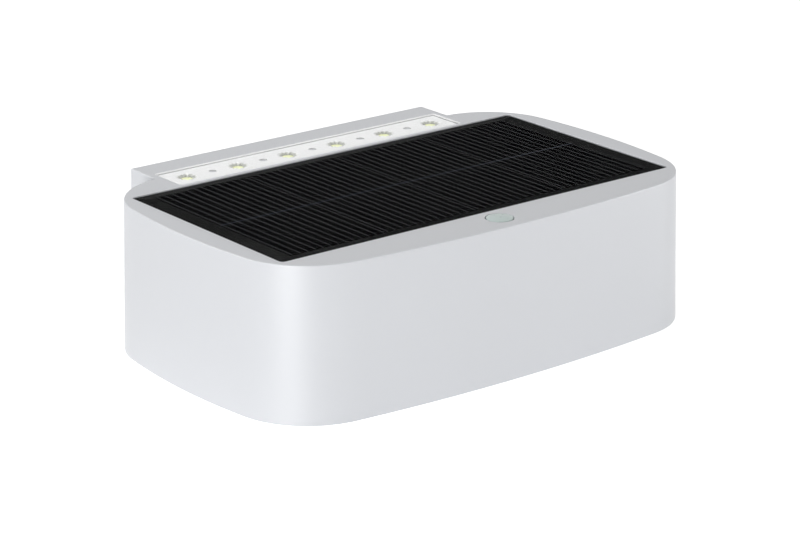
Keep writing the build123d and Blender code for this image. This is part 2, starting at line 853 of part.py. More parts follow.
# ================================================================ wall bracket
with BuildPart() as wall_bracket:
    with BuildSketch(level(bracket_bottom)):
        with Locations((0, fence_y)):
            Rectangle(lip_opening - 2 * bracket_fit, bracket_plate, align=(Align.CENTER, Align.MAX))
        with Locations((0, bracket_front)):
            with GridLocations(pocket_width - 2 * bracket_fit - flange_width, 0, 2, 1):
                Rectangle(flange_width, flange_thickness, align=(Align.CENTER, Align.MAX))
    extrude(amount=deck_under - foot_clearance - bracket_bottom)
    with BuildSketch(level(foot_bottom)):
        with Locations((0, foot_front)):
            Rectangle(foot_width, bracket_front - foot_front, align=(Align.CENTER, Align.MIN))
    extrude(amount=foot_thickness)
    with BuildSketch(level(foot_bottom)):
        with Locations((0, lock_y)):
            small_round(lock_thread + screw_slip)
    extrude(amount=foot_thickness, mode=Mode.SUBTRACT)
    fence_face = Plane((0, body_y + fence_y, screw_hole_height), x_dir=(1, 0, 0), z_dir=(0, 1, 0))
    with BuildSketch(fence_face):
        with GridLocations(screw_hole_spacing, 0, 2, 1):
            Circle(screw_hole_radius)
    extrude(amount=-bracket_plate, mode=Mode.SUBTRACT)
save(wall_bracket, "wall_bracket")

with BuildPart() as lock_screw:
    with Locations((0, body_y + lock_y, foot_bottom - lock_head_height)):
        add(screw(lock_thread, lock_head, lock_length))
save(lock_screw, "lock_screw")
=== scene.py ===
import json
from math import asin, atan2, pi, radians, tan

import bmesh
import bpy
from mathutils import Matrix, Vector
from mathutils.geometry import intersect_sphere_sphere_2d


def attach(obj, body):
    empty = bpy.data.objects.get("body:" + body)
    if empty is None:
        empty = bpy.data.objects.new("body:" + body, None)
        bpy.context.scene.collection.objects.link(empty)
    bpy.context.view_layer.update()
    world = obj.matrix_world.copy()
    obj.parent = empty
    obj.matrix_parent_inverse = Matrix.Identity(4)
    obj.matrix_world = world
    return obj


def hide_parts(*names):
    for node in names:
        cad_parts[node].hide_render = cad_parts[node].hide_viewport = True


# Solar fence light. Pieces are shaped in millimetres about the middle of the bowed body,
# and put into the frame, in metres, when they are finished.

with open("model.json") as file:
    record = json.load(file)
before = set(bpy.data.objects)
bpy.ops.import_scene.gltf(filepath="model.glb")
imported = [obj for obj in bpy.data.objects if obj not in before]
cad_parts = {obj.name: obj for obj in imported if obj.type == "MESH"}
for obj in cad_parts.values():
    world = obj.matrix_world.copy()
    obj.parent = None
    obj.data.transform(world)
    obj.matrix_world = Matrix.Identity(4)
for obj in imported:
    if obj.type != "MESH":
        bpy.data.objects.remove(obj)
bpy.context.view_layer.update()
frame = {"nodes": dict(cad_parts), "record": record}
nodes = frame["nodes"]

# ---------------------------------------------------------------- sizes, in millimetres
# Bowed body, and the square block at its rear
body_length, body_width, body_height = 122.2, 79.2, 35.4
end_bow, side_bow, corner_radius = 4.0, 3.9, 18.6
draft_slope = tan(radians(1.5))
draft_run = body_height * draft_slope
block_half, block_reach = 43.0, 7.9
fence_y = body_width / 2 + block_reach
body_y = (draft_run - block_reach) / 2
rim_wall, skirt_wall, deck_wall = 1.2, 2.4, 2.0
ledge_z, cavity_start, cavity_top, deck_under = 3.8, 2.0, 31.4, 33.4
rim_round, seat_chamfer = 0.3, 0.08

# Solar panel, its seat and the lines on its cells. What lies higher than the base is raised.
panel_length, panel_width, panel_corner, panel_fit = 110.0, 56.7, 0.8, 0.15
panel_seat, panel_base, panel_raise = 33.4, 34.0, 0.4
cell_pitch, finger_pitch, finger_width, bus_width = 25.4625, 2.03, 0.15, 0.3
finger_reach = 6.4 * finger_pitch

# Window over the lights, and the channel below it. What lies higher than a base is raised.
window_y, window_length, window_width = 35.05, 82.0, 10.6
window_corner, window_fit, window_seat = 0.6, 0.12, 34.25
window_base, light_base, window_raise, seal_raise = 34.0, 33.0, 0.7, 0.62
channel_length, channel_width, channel_wall, channel_floor = 80.2, 8.8, 2.0, 30.95
channel_root = 0.4

# Strip over the lights: body, flange, lip round the window, ribs, pegs and cups
light_pitch, light_count, light_hole = 14.3, 6, 3.9
strip_under, strip_length, strip_width, strip_bite = 31.95, 79.8, 8.4, 0.2
flange_under, flange_face, flange_length, flange_width = 34.5, 35.05, 81.1, 9.7
flange_corner, lip_outer, lip_inner = 0.5, (82.2, 10.8, 0.6), (82.04, 10.64, 0.55)
lip_top, rib_length, rib_width, rib_y = 35.38, 10.5, 0.3, 3.9
rib_under, rib_rise = 34.9, 0.04
peg_radius, peg_fit, peg_drop, peg_root = 0.8, 0.15, 0.15, 0.5
cup_radius, throat_radius, cup_depth, cup_pleat, cup_sides = 2.9, 1.55, 0.5, 0.26, 24
# Depths below the face over which the strip is painted darker in its cups (painted shade), and the
# strength of its painted glow
cup_spare, cup_shade, face_shade, painted_glow_strength = 0.1, 0.25, 0.01, 0.22
lights = [(number - (light_count - 1) / 2) * light_pitch for number in range(light_count)]
between_lights = [x + light_pitch / 2 for x in lights[:-1]]

# Pocket for the bracket, with its lips, and the boss of the screw that locks it
pocket_half, lip_half, lip_thickness = 41.0, 38.5, 2.0
lock_half, lock_near, lock_far, lock_low, lock_high = 3.0, 40.23, 44.95, 4.95, 14.9
lock_thread, lock_y, lock_pilot = 1.25, 43.04, (4.0, 12.7)

# Button, from its dome to its stem
button_y, cap_radius, cap_gap, cap_dome = -33.45, 3.05, 0.2, 0.5
cap_flange_radius, cap_stem_radius, guide_gap, guide_under = 3.7, 1.5, 0.1, 31.0
shoulder_z, cap_flange_top, cap_flange_under, stem_end = 33.6, 32.95, 32.2, 31.2
bore_overlap = 0.1

# Base cover, screw bosses and rails for the battery holder
cover_bottom, cover_top, cover_fit = 1.0, 3.0, 0.25
base_bosses = [(x, y) for x in (-47.1, 47.1) for y in (-25.7, 25.7)]
base_thread, base_boss_radius, base_boss_gap, base_pilot_top = 1.45, 3.5, 0.05, 12.0
base_seat_radius, base_seat_depth, base_hole_fit = 3.95, 2.35, 0.15
board_bosses = [(x, y) for x in (-23.6, 23.6) for y in (-26.9, 4.3)]
board_thread, board_boss_radius, board_top, board_pilot_top = 1.0, 2.4, 26.15, 31.0
pilot_fit = 0.03
battery_y, rail_length, rail_thickness, rail_spacing = 23.2, 44.0, 2.0, 24.0
rail_rise, rail_root, hole_start = 4.0, 0.5, 1.5
light_lead_hole, panel_lead_hole, lead_hole_radius = (18.0, 34.2), (-18.0, 21.4), 3.0

# Camera: lens, place in metres, and the ways in which its right, top and rear look
lens_length, sensor_width, view_reach = 126.4, 36.0, 20.0
view_place = (-0.37875, -0.48107, 0.22377)
view_right = (0.78455, -0.62007, 0.0)
view_up = (0.20080, 0.25407, 0.94612)
view_back = (-0.58666, -0.74227, 0.32384)

# How far cutters reach past a surface and bosses into the deck, and what counts as one place
beyond, past_fence, boss_root = 1.0, 2.0, 0.6
near, merge_reach, upright = 0.01, 1e-4, 0.0001
face_under, same_place, flat_angle = 35.1, 2e-6, radians(0.5)

# How finely arcs and round holes are drawn, and from which angle an edge is sharp, in degrees
front_steps, corner_steps, side_steps, pocket_steps, dome_steps = 26, 22, 16, 16, 10
hole_sides, seat_sides, bar_sides, button_sides = 24, 32, 40, 64
rounding_segments, sharp_angle = 2, 35

to_frame = Matrix.Translation((0, body_y / 1000, 0)) @ Matrix.Scale(0.001, 4)


# ---------------------------------------------------------------- outlines and plain forms
def bow_middles():
    """Middles of the front bow, the right-hand bow and the rounding between them."""
    front = Vector((0, front_radius - body_width / 2))
    side = Vector((body_length / 2 - side_radius, 0))
    places = intersect_sphere_sphere_2d(
        front, front_radius - corner_radius, side, side_radius - corner_radius
    )
    return front, side, max(places, key=lambda place: place.x - place.y)


front_half = body_length / 2 - end_bow
side_half = body_width / 2 - side_bow
front_radius = (front_half**2 + side_bow**2) / (2 * side_bow)
side_radius = (side_half**2 + end_bow**2) / (2 * end_bow)
front_middle, side_middle, corner_middle = bow_middles()
front_angle = atan2(corner_middle.x, front_middle.y - corner_middle.y)
side_angle = atan2(-corner_middle.y, corner_middle.x - side_middle.x)
corner_angle = pi / 2 - front_angle - side_angle


def swung(bm, start, centre, angle, steps):
    """Carries a vertex round a centre, and gives the last one of the arc."""
    middle = (centre[0], centre[1], start.co.z)
    made = bmesh.ops.spin(
        bm, geom=[start], cent=middle, axis=(0, 0, 1), angle=angle, steps=steps
    )
    return next(item for item in made["geom_last"] if isinstance(item, bmesh.types.BMVert))


def drawn(bm, start, *places):
    """Leads a straight line from a vertex through more places at its height."""
    for place in places:
        start = bmesh.ops.extrude_vert_indiv(bm, verts=[start])["verts"][0]
        start.co = (place[0], place[1], start.co.z)
    return start


def closed(bm, *axes):
    """Mirrors an open outline across the axes and fills it with one face that looks up."""
    for axis in axes:
        bmesh.ops.mirror(bm, geom=bm.verts[:] + bm.edges[:], merge_dist=merge_reach, axis=axis)
    bmesh.ops.remove_doubles(bm, verts=bm.verts, dist=merge_reach)
    face = bmesh.ops.contextual_create(bm, geom=bm.edges[:])["faces"][0]
    if face.normal.z < 0:
        face.normal_flip()
    return face


def body_outline(spread, height):
    """Bowed outline of the body, grown by a spread, as one face."""
    bm = bmesh.new()
    start = bm.verts.new((0, -body_width / 2 - spread, height))
    corner = swung(bm, start, front_middle, front_angle, front_steps)
    side = swung(bm, corner, corner_middle, corner_angle, corner_steps)
    swung(bm, side, side_middle, side_angle, side_steps)
    return bm, closed(bm, "Y", "X")


def housing_outline():
    """Outline of the bowed body with the square block at its rear, at the lower rim."""
    bm = bmesh.new()
    rear_corner = Vector((corner_middle.x, -corner_middle.y))
    block_angle = asin(
        (block_half + draft_run - corner_middle.x) / (corner_radius + draft_run)
    )
    start = bm.verts.new((0, -body_width / 2 - draft_run, 0))
    corner = swung(bm, start, front_middle, front_angle, front_steps)
    side = swung(bm, corner, corner_middle, corner_angle, corner_steps)
    rear = swung(bm, side, side_middle, 2 * side_angle, 2 * side_steps)
    turn = swung(bm, rear, rear_corner, pi / 2 - side_angle - block_angle, corner_steps)
    drawn(bm, turn, (turn.co.x, fence_y + past_fence), (0, fence_y + past_fence))
    return bm, closed(bm, "X")


def heights(edge):
    """Lower and upper height of an edge."""
    return sorted(vert.co.z for vert in edge.verts)


def squared_off(bm):
    """Cuts a form off flat at the fence, and rounds the deck's rim and the edges of the cut."""
    cut = bmesh.ops.bisect_plane(
        bm,
        geom=bm.verts[:] + bm.edges[:] + bm.faces[:],
        plane_co=(0, fence_y, 0),
        plane_no=(0, 1, 0),
        clear_outer=True,
        dist=merge_reach,
    )["geom_cut"]
    edges = [item for item in cut if isinstance(item, bmesh.types.BMEdge)]
    bmesh.ops.holes_fill(bm, edges=edges)
    upper = [edge for edge in bm.edges if heights(edge)[0] > body_height - near]
    sides = [edge for edge in edges if heights(edge)[1] > near and edge not in upper]
    return eased(bm, upper + sides, rim_round)


def stepped_in(bm, face, inward, rise):
    """Adds a band of wall round a face, and moves the face inward and up."""
    bmesh.ops.inset_region(
        bm, faces=[face], thickness=inward, depth=rise, use_boundary=True, use_even_offset=True
    )


def drafted(bm, face, height):
    """Raises drafted walls from a face's rim, and closes the form below."""
    stepped_in(bm, face, height * draft_slope, height)
    bmesh.ops.holes_fill(bm, edges=[edge for edge in bm.edges if edge.is_boundary])
    return bm


def eased(bm, edges, reach, segments=4):
    """Rounds edges of a form."""
    bmesh.ops.bevel(
        bm,
        geom=edges,
        offset=reach,
        segments=segments,
        profile=0.5,
        affect="EDGES",
        material=-1,
    )
    return bm


def flared(bm, low, high):
    """Raises a cutter from its floor to the deck, where it opens out in a small chamfer."""
    face = bm.faces[:][0]
    stepped_in(bm, face, upright, high - low - seat_chamfer)
    stepped_in(bm, face, -seat_chamfer - beyond, seat_chamfer + beyond)
    bmesh.ops.holes_fill(bm, edges=[edge for edge in bm.edges if edge.is_boundary])
    return bm


def raised(bm, face, height):
    """Raises upright walls from a face, and keeps the face below."""
    made = bmesh.ops.extrude_face_region(bm, geom=[face], use_keep_orig=True)
    lifted = [item for item in made["geom"] if isinstance(item, bmesh.types.BMVert)]
    bmesh.ops.translate(bm, verts=lifted, vec=(0, 0, height))
    return bm


def rounded_face(middle, length, width, radius, height):
    """Level face with rounded corners."""
    bm = bmesh.new()
    bmesh.ops.create_grid(bm, x_segments=1, y_segments=1, size=0.5)
    bmesh.ops.scale(bm, verts=bm.verts, vec=(length, width, 1))
    bmesh.ops.translate(bm, verts=bm.verts, vec=(middle[0], middle[1], height))
    if radius:
        bmesh.ops.bevel(
            bm,
            geom=bm.verts[:],
            offset=radius,
            segments=8,
            profile=0.5,
            affect="VERTICES",
            material=-1,
        )
    return bm


def rounded_plate(middle, length, width, radius, low, high):
    """Plate with rounded corners between two heights."""
    bm = rounded_face(middle, length, width, radius, low)
    return raised(bm, bm.faces[:][0], high - low)


def round_bar(bm, x, y, radius, low, high, top_radius=None, sides=bar_sides):
    """Adds an upright round bar between two heights, or a cone where its top differs."""
    bmesh.ops.create_cone(
        bm,
        cap_ends=True,
        segments=sides,
        radius1=radius,
        radius2=radius if top_radius is None else top_radius,
        depth=high - low,
        matrix=Matrix.Translation((x, y, (low + high) / 2)),
    )
    return bm


# ---------------------------------------------------------------- joining and cutting
def rough_solid(bm):
    """Puts a form into a passing object, as a base or a tool for joining and cutting."""
    bmesh.ops.recalc_face_normals(bm, faces=bm.faces)
    mesh = bpy.data.meshes.new("rough")
    bm.to_mesh(mesh)
    bm.free()
    solid = bpy.data.objects.new("rough", mesh)
    bpy.context.scene.collection.objects.link(solid)
    return solid


def worked(base, tool_form, operation):
    """Joins a form to a base or cuts it away, and gives the base back."""
    tool = rough_solid(tool_form)
    cutter = base.modifiers.new("work", "BOOLEAN")
    cutter.operation = operation
    cutter.solver = "MANIFOLD"
    cutter.object = tool
    bpy.context.view_layer.update()
    shown = base.evaluated_get(bpy.context.evaluated_depsgraph_get())
    mesh = bpy.data.meshes.new_from_object(shown)
    base.modifiers.clear()
    base.data = mesh
    bpy.data.objects.remove(tool)
    return base


def taken_up(solid):
    """Turns a passing object back into a form."""
    bm = bmesh.new()
    bm.from_mesh(solid.data)
    bpy.data.objects.remove(solid)
    bmesh.ops.remove_doubles(bm, verts=bm.verts, dist=merge_reach)
    bmesh.ops.triangulate(bm, faces=[face for face in bm.faces if len(face.verts) > 4])
    return bm


# ---------------------------------------------------------------- finished pieces
def finished(name, bm, finish, covers, body="lamp", round_edges=0.0, sharp=sharp_angle):
    """Makes a form, given in millimetres, a piece in the frame, in place of its solids."""
    bmesh.ops.recalc_face_normals(bm, faces=bm.faces)
    bm.transform(to_frame)
    dressed_mesh(name, bm, finish, covers, body, round_edges, sharp)


def dressed_mesh(name, bm, finish, covers, body="lamp", round_edges=0.0, sharp=sharp_angle):
    """Turns a form in the frame into a piece that rides on a body in place of its solids."""
    for face in bm.faces:
        face.smooth = True
    mesh = bpy.data.meshes.new(name)
    bm.to_mesh(mesh)
    bm.free()
    mesh.set_sharp_from_angle(angle=radians(sharp))
    piece = bpy.data.objects.new(name, mesh)
    bpy.context.scene.collection.objects.link(piece)
    piece.data.materials.append(finishes[finish])
    if round_edges:
        rounding = piece.modifiers.new("edges", "BEVEL")
        rounding.width = round_edges / 1000
        rounding.segments = rounding_segments
        rounding.limit_method = "ANGLE"
        rounding.angle_limit = radians(sharp)
        rounding.use_clamp_overlap = False
        rounding.harden_normals = False
    weighting = piece.modifiers.new("shading", "WEIGHTED_NORMAL")
    weighting.keep_sharp = True
    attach(piece, body)
    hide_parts(*covers)


def copied(node, finish, round_edges=0.0, raise_from=None, raise_by=0.0):
    """Merged copy of a solid's mesh, with its flat faces whole and its edges rounded.

    What lies between a given height and the deck's face is brought nearer to that face.
    """
    bm = bmesh.new()
    bm.from_mesh(nodes[node].data)
    bmesh.ops.remove_doubles(bm, verts=bm.verts, dist=same_place)
    bmesh.ops.dissolve_limit(bm, angle_limit=flat_angle, verts=bm.verts, edges=bm.edges)
    if raise_from:
        lower = [vert for vert in bm.verts if raise_from < vert.co.z * 1000 < face_under]
        bmesh.ops.translate(bm, verts=lower, vec=(0, 0, raise_by / 1000))
    dressed_mesh(f"{node}_piece", bm, finish, (node,), round_edges=round_edges)


# ---------------------------------------------------------------- finishes
def paint(red, green, blue):
    """Colour as it is seen on a screen, 0 to 255, as linear light."""
    shades = [value / 255 for value in (red, green, blue)]
    light = [
        shade / 12.92 if shade < 0.04045 else ((shade + 0.055) / 1.055) ** 2.4 for shade in shades
    ]
    return [*light, 1.0]


def step(tree, kind, inputs=(), **settings):
    """Adds a shading step, with inputs that are values or other steps' results."""
    made = tree.nodes.new(f"ShaderNode{kind}")
    for key, value in settings.items():
        setattr(made, key, value)
    for key, value in dict(inputs).items():
        if isinstance(value, bpy.types.NodeSocket):
            tree.links.new(value, made.inputs[key])
        else:
            made.inputs[key].default_value = value
    return made


def surface(name, **sockets):
    """New finish, with what is the same all over set on the shader itself."""
    material = bpy.data.materials.new(name)
    material.use_nodes = True
    tree = material.node_tree
    shader = tree.nodes["Principled BSDF"]
    for key, value in sockets.items():
        shader.inputs[key.replace("_", " ")].default_value = value
    finishes[name] = material
    return tree, shader


def place_on(tree):
    """Place on the piece itself, in metres."""
    return step(tree, "TexCoord").outputs["Object"]


def sums(tree, operation, first, second=0.0, third=0.0):
    """One sum on two or three values."""
    return step(tree, "Math", {0: first, 1: second, 2: third}, operation=operation).outputs[0]


def grain(tree, place, size, detail=2.0):
    """Even noise whose lumps are about the given size in millimetres."""
    inputs = {"Vector": place, "Scale": 1000 / size, "Detail": detail}
    return step(tree, "TexNoise", inputs).outputs["Fac"]


def tinted(tree, shader, factor, low, high):
    """Colour of a surface that runs from low to high with a factor."""
    mixed = step(tree, "Mix", {"Factor": factor, "A": low, "B": high}, data_type="RGBA")
    tree.links.new(mixed.outputs["Result"], shader.inputs["Base Color"])
    return mixed.outputs["Result"]


def ranged(tree, factor, low, high, socket):
    """Value that runs from low to high as a factor goes from 0.3 to 0.7."""
    inputs = {"Value": factor, "From Min": 0.3, "From Max": 0.7, "To Min": low, "To Max": high}
    tree.links.new(step(tree, "MapRange", inputs).outputs["Result"], socket)


def textured(tree, shader, height, depth):
    """Fine relief, whose depth is in millimetres."""
    bump = step(tree, "Bump", {"Height": height, "Distance": depth / 1000, "Strength": 1.0})
    tree.links.new(bump.outputs["Normal"], shader.inputs["Normal"])


def moulded(name, colour, roughness, size=0.25, depth=0.003, **sockets):
    """Moulded plastic: slight shade drift, fine spark texture and uneven gloss."""
    tree, shader = surface(name, **sockets)
    place = place_on(tree)
    drift = grain(tree, place, 35.0)
    spark = grain(tree, place, size, 3.0)
    dark = paint(*[value - 2 for value in colour])
    light = paint(*[value + 1 for value in colour])
    tinted(tree, shader, drift, dark, light)
    ranged(tree, spark, roughness - 0.04, roughness + 0.04, shader.inputs["Roughness"])
    textured(tree, shader, spark, depth)


def metal(name, colour, roughness, stretch=(1.0, 1.0, 12.0), size=0.6):
    """Drawn or plated metal with fine lines along one way."""
    tree, shader = surface(name, Metallic=1.0)
    lines = step(tree, "Mapping", {"Vector": place_on(tree), "Scale": stretch}).outputs["Vector"]
    streak = grain(tree, lines, size, 4.0)
    tinted(tree, shader, streak, paint(*[value * 0.86 for value in colour]), paint(*colour))
    ranged(tree, streak, roughness - 0.06, roughness + 0.1, shader.inputs["Roughness"])
    textured(tree, shader, streak, 0.004)


def solder_mask(name, colour, trace_colour, roughness, **sockets):
    """Lacquered circuit board with tracks that run below its lacquer."""
    tree, shader = surface(name, **sockets)
    place = place_on(tree)
    tracks = step(
        tree,
        "TexBrick",
        {
            "Vector": place,
            "Scale": 160.0,
            "Mortar Size": 0.012,
            "Color1": paint(*colour),
            "Color2": paint(*[value * 0.93 for value in colour]),
            "Mortar": paint(*trace_colour),
        },
    ).outputs["Color"]
    tree.links.new(tracks, shader.inputs["Base Color"])
    cloth = grain(tree, place, 0.5)
    ranged(tree, cloth, roughness - 0.05, roughness + 0.08, shader.inputs["Roughness"])
    textured(tree, shader, cloth, 0.004)


def silicon():
    """Nearly black cells with thin silver fingers from front to rear and one bus line."""
    tree, shader = surface("solar_silicon", Specular_IOR_Level=0.0)
    parts = step(tree, "SeparateXYZ", {"Vector": place_on(tree)})
    across = sums(tree, "MULTIPLY", parts.outputs["X"], 1000.0)
    along = sums(tree, "MULTIPLY_ADD", parts.outputs["Y"], 1000.0, -body_y)
    in_cell = sums(tree, "WRAP", across, cell_pitch, 0.0)
    from_middle = sums(tree, "SUBTRACT", in_cell, cell_pitch / 2)
    turn = sums(tree, "MULTIPLY_ADD", from_middle, 1 / finger_pitch, 0.5)
    off_finger = sums(tree, "ABSOLUTE", sums(tree, "SUBTRACT", sums(tree, "FRACT", turn), 0.5))
    finger = sums(tree, "LESS_THAN", off_finger, finger_width / 2 / finger_pitch)
    inside = sums(tree, "LESS_THAN", sums(tree, "ABSOLUTE", from_middle), finger_reach)
    finger = sums(tree, "MULTIPLY", finger, inside)
    bus = sums(tree, "LESS_THAN", sums(tree, "ABSOLUTE", along), bus_width / 2)
    drift = grain(tree, place_on(tree), 9.0)
    cell = tinted(tree, shader, drift, paint(0, 0, 1), paint(2, 2, 4))
    for line, colour in ((finger, paint(96, 97, 99)), (bus, paint(84, 88, 98))):
        cell = tinted(tree, shader, line, cell, colour)
    ranged(tree, drift, 0.4, 0.5, shader.inputs["Roughness"])


def clear_sheet(name, colour, cover, roughness, size):
    """Clear plastic: mostly see-through, with a smooth, slightly uneven face."""
    tree, shader = surface(name, Base_Color=paint(*colour), Alpha=cover)
    wave = grain(tree, place_on(tree), size)
    ranged(tree, wave, roughness, roughness + 0.05, shader.inputs["Roughness"])
    textured(tree, shader, wave, 0.002)


def strip_white():
    """Glossy white with a painted glow on its face, and painted shade that makes it duller down in
    the cups.
    """
    tree, shader = surface("reflector_white", Emission_Color=paint(255, 255, 255))
    place = place_on(tree)
    height = step(tree, "SeparateXYZ", {"Vector": place}).outputs["Z"]
    # Painted light: the white is painted darker down in the cups as shade, and the face gets a
    # painted glow
    low, high = (flange_face - cup_shade) / 1000, (flange_face - face_shade) / 1000
    span = {"Value": height, "From Min": low, "From Max": high, "To Min": 0.0, "To Max": 1.0}
    painted_light_level = step(tree, "MapRange", span).outputs["Result"]
    # Painted shade: a duller white deep in the cups, full white at the face
    tinted(tree, shader, painted_light_level, paint(216, 217, 210), paint(250, 250, 250))
    # Painted glow on the strip's face, fading to none down in the cups
    tree.links.new(sums(tree, "MULTIPLY", painted_light_level, painted_glow_strength), shader.inputs["Emission Strength"])
    spark = grain(tree, place, 0.6, 3.0)
    ranged(tree, spark, 0.18, 0.26, shader.inputs["Roughness"])
    textured(tree, shader, spark, 0.0005)


def phosphor():
    """Yellow-green gel with fine grains of phosphor in it, and a painted glow that makes it look
    brighter.
    """
    # Painted glow: the gel is made to shine so that it looks brighter, though the lights are off
    glow = {"Emission_Color": paint(250, 255, 205), "Emission_Strength": 0.35}
    tree, shader = surface("phosphor_yellow", **glow)
    grains = grain(tree, place_on(tree), 0.12, 3.0)
    tinted(tree, shader, grains, paint(240, 246, 176), paint(252, 255, 222))
    ranged(tree, grains, 0.35, 0.5, shader.inputs["Roughness"])
    textured(tree, shader, grains, 0.01)


def rubbery(name, colour, roughness, size=0.4):
    """Soft insulation or silicone with a dusty, matt skin."""
    tree, shader = surface(name, Sheen_Weight=0.15)
    skin = grain(tree, place_on(tree), size, 3.0)
    tinted(tree, shader, skin, paint(*[value * 0.85 for value in colour]), paint(*colour))
    ranged(tree, skin, roughness - 0.05, roughness + 0.1, shader.inputs["Roughness"])
    textured(tree, shader, skin, 0.01)


finishes = {}
moulded("housing_white", (219, 221, 225), 0.38, Specular_IOR_Level=1.0)
moulded("cover_white", (212, 214, 218), 0.5, size=0.35, depth=0.006)
moulded("bracket_white", (212, 214, 218), 0.5, size=0.35, depth=0.006)
strip_white()
moulded("package_white", (226, 227, 226), 0.45, size=0.2)
moulded("connector_white", (224, 222, 214), 0.45, size=0.3, Subsurface_Weight=0.05)
moulded("component_black", (34, 34, 35), 0.5, size=0.2, depth=0.006)
moulded("plunger_black", (42, 42, 43), 0.4, size=0.2)
moulded("button_clear", (205, 219, 216), 0.3, size=0.5, depth=0.001)
moulded("battery_wrap", (34, 92, 150), 0.3, size=1.5, depth=0.004)
solder_mask("board_green", (30, 92, 52), (52, 122, 74), 0.32)
solder_mask("board_white", (230, 231, 229), (214, 215, 212), 0.4)
solder_mask("panel_black", (58, 59, 59), (61, 62, 62), 0.5, Specular_IOR_Level=0.0)
silicon()
clear_sheet("panel_clear", (20, 21, 23), 0.02, 0.25, 3.0)
clear_sheet("window_clear", (244, 247, 247), 0.07, 0.04, 6.0)
phosphor()
metal("contact_steel", (196, 196, 192), 0.3)
metal("screw_steel", (186, 187, 190), 0.34, stretch=(1.0, 1.0, 3.0), size=0.3)
metal("capacitor_can", (205, 206, 208), 0.3)
rubbery("seal_grey", (136, 138, 140), 0.6)
rubbery("tape_black", (38, 38, 38), 0.8, size=0.8)
rubbery("lead_red", (176, 34, 30), 0.45)
rubbery("lead_black", (32, 32, 33), 0.45)

for subpart in frame["record"]["subparts"]:
    slots = nodes[subpart["node"]].data.materials
    slots.clear()
    slots.append(finishes[subpart["material_slot"]])


# ---------------------------------------------------------------- housing
def pocket_form():
    """Room for the wall bracket: open below, and open to the fence between two lips."""
    bm = bmesh.new()
    spread = draft_run + draft_slope
    rear_middle = Vector((0, -front_middle.y))
    start = bm.verts.new((0, body_width / 2 + spread, -beyond))
    pocket_angle = asin(pocket_half / (front_radius + spread))
    corner = swung(bm, start, rear_middle, -pocket_angle, pocket_steps)
    corner.co.x = pocket_half
    lip_y = fence_y - lip_thickness
    drawn(
        bm,
        corner,
        (pocket_half, lip_y),
        (lip_half, lip_y),
        (lip_half, fence_y + past_fence),
        (0, fence_y + past_fence),
    )
    raised(bm, closed(bm, "X"), deck_under + beyond)
    # The pocket's bowed side leans as the body's drafted wall does
    for vert in bm.verts:
        if vert.co.z > 0 and vert.co.y < lip_y - near:
            vert.co.y -= (deck_under + beyond) * draft_slope
    return bm


def bosses():
    """Everything that stands in the hollow body: screw bosses and the channel for the lights."""
    bm = rounded_plate(
        (0, window_y),
        channel_length + 2 * channel_wall,
        channel_width + 2 * channel_wall,
        0,
        channel_floor - deck_wall,
        deck_under + channel_root,
    )
    for x, y in base_bosses:
        round_bar(bm, x, y, base_boss_radius, cover_top + base_boss_gap, cavity_top + boss_root)
    for x, y in board_bosses:
        round_bar(bm, x, y, board_boss_radius, board_top, cavity_top + boss_root)
    middle = (0, (lock_near + lock_far) / 2)
    lock_boss = rounded_plate(
        middle, 2 * lock_half, lock_far - lock_near, 0, lock_low, lock_high
    )
    mesh = bpy.data.meshes.new("lock_boss")
    lock_boss.to_mesh(mesh)
    lock_boss.free()
    bm.from_mesh(mesh)
    return bm


def bores():
    """Button bore, holes for the leads and pilot holes for the screws."""
    bm = bmesh.new()
    top, bore = body_height + beyond, cap_radius + cap_gap
    round_bar(bm, 0, button_y, bore, shoulder_z - bore_overlap, top, sides=button_sides)
    under_channel = channel_floor - deck_wall - beyond
    round_bar(bm, *light_lead_hole, lead_hole_radius, under_channel, channel_floor + beyond)
    under_deck = cavity_top - beyond
    round_bar(bm, *panel_lead_hole, lead_hole_radius, under_deck, panel_seat + beyond)
    pilots = [(0, lock_y, lock_thread, *lock_pilot)]
    for x, y in base_bosses:
        pilots.append((x, y, base_thread, cover_top - beyond, base_pilot_top))
    for x, y in board_bosses:
        pilots.append((x, y, board_thread, board_top - beyond, board_pilot_top))
    for x, y, thread, low, high in pilots:
        round_bar(bm, x, y, thread + pilot_fit, low, high, sides=hole_sides)
    return bm


def pegs():
    """Pegs between the lights, which stand in the channel and hold the strip."""
    bm = bmesh.new()
    low, high = channel_floor - peg_root, flange_face - peg_drop
    for x in between_lights:
        round_bar(bm, x, window_y, peg_radius, low, high, sides=hole_sides)
    return bm


